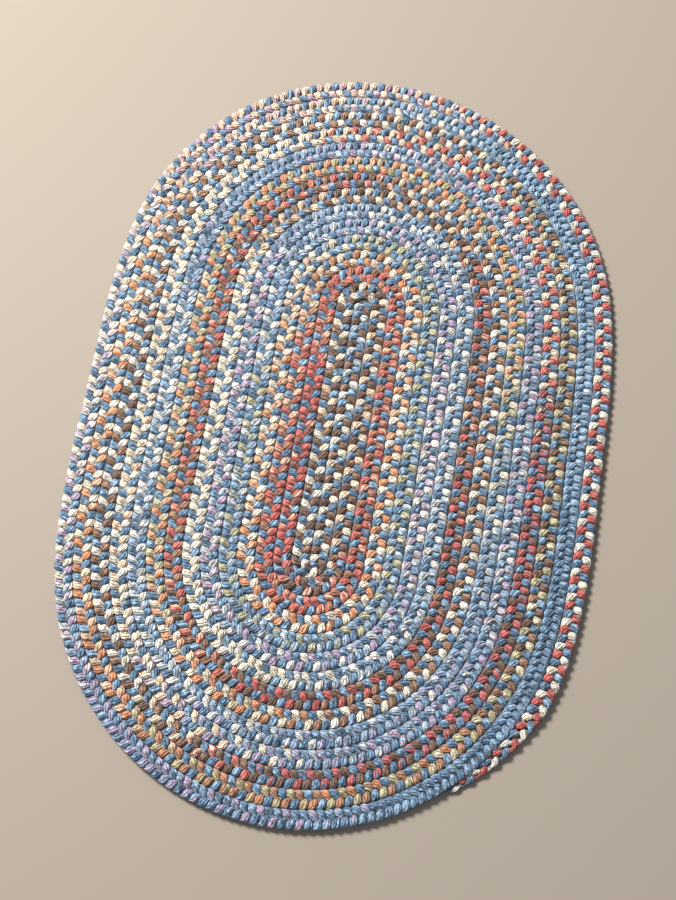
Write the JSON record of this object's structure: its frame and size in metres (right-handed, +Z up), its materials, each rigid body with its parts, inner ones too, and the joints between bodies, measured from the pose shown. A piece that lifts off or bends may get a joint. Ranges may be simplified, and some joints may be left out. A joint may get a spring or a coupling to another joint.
{
  "type": "oval braided rug",
  "caption": "Flat oval rug wound from one thick multicoloured yarn braid, its rows laced edge to edge, with the outer end of the braid tapered into the rim.",
  "frame": {"origin": "middle of the rug's outline on its underside, at floor level", "axes": "+Z up off the floor, +Y along the rug's long axis, away from the end where the braid finishes; the braid finishes near the -Y end on the +X side"},
  "size_m": [0.609, 0.914, 0.01],
  "materials": {
    "braid_yarn": "matt heathered yarn, three strands to the braid: one medium denim blue, two space-dyed in cream, peach, orange, brick red, brown, sage, light blue and lilac"
  },
  "bodies": {
    "root": {"braided_rug": "braid_yarn"}
  },
  "joints": []
}
